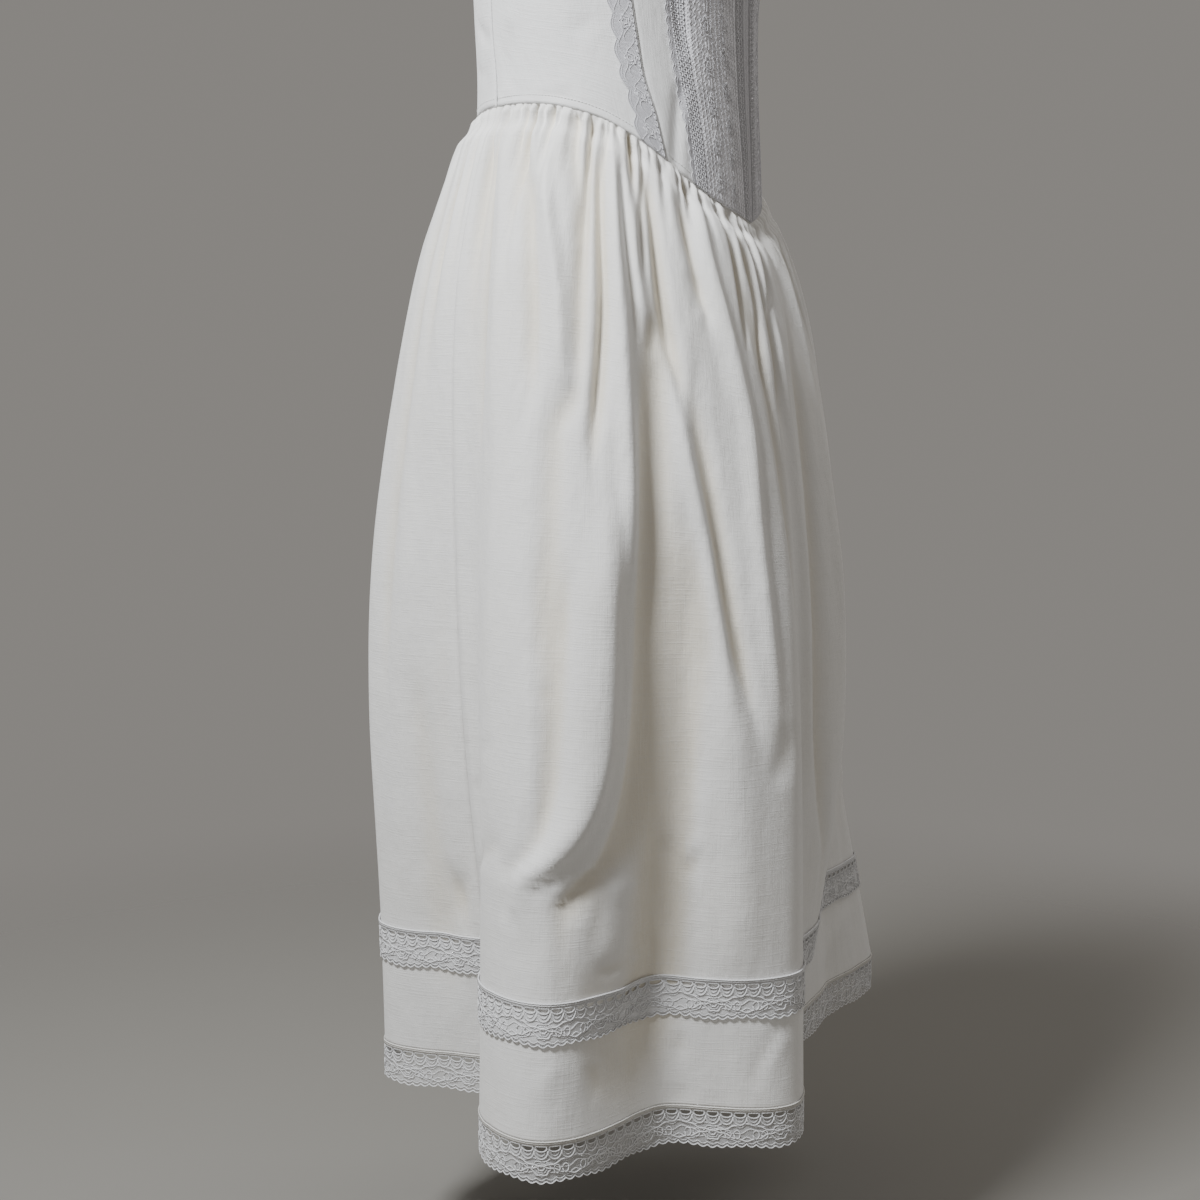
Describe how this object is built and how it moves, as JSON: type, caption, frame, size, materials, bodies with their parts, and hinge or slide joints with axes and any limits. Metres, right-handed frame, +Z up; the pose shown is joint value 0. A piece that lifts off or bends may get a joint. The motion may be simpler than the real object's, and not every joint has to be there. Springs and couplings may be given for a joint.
{
  "type": "wedding dress",
  "caption": "Hollow worn wedding dress: sleeveless bodice with V-pointed waist seam and lace panels, gathered skirt with lace band and lace hem",
  "frame": {"origin": "middle of the shoulders, level with the shoulder seams at the neck, where the wearer holds the dress up", "axes": "+Z up, the dress faces -Y, the wearer's right is -X"},
  "size_m": [0.6504, 0.4647, 1.349],
  "materials": {
    "bodice_cloth": "white plain-weave cotton blend, matt, cooler than the skirt in the shade",
    "bodice_lace": "white all-over and edging lace, matt",
    "skirt_cloth": "ivory plain-weave cotton blend with fine slubs, matt with a soft sheen",
    "skirt_lace": "white corded galloon lace, matt"
  },
  "bodies": {
    "root": {"bodice_front_right": "bodice_cloth", "bodice_front_left": "bodice_cloth", "bodice_side_right": "bodice_cloth", "bodice_side_left": "bodice_cloth", "bodice_back": "bodice_cloth", "lace_front_edge_right": "bodice_lace", "lace_front_edge_left": "bodice_lace", "lace_galloon_inner_right": "bodice_lace", "lace_galloon_inner_left": "bodice_lace", "lace_plastron_right": "bodice_lace", "lace_plastron_left": "bodice_lace", "lace_galloon_outer_right": "bodice_lace", "lace_galloon_outer_left": "bodice_lace", "lace_princess_strip_right": "bodice_lace", "lace_princess_strip_left": "bodice_lace", "skirt_front": "skirt_cloth", "skirt_back": "skirt_cloth", "lace_band_front": "skirt_lace", "lace_band_back": "skirt_lace", "lace_hem_front": "skirt_lace", "lace_hem_back": "skirt_lace"}
  },
  "joints": []
}
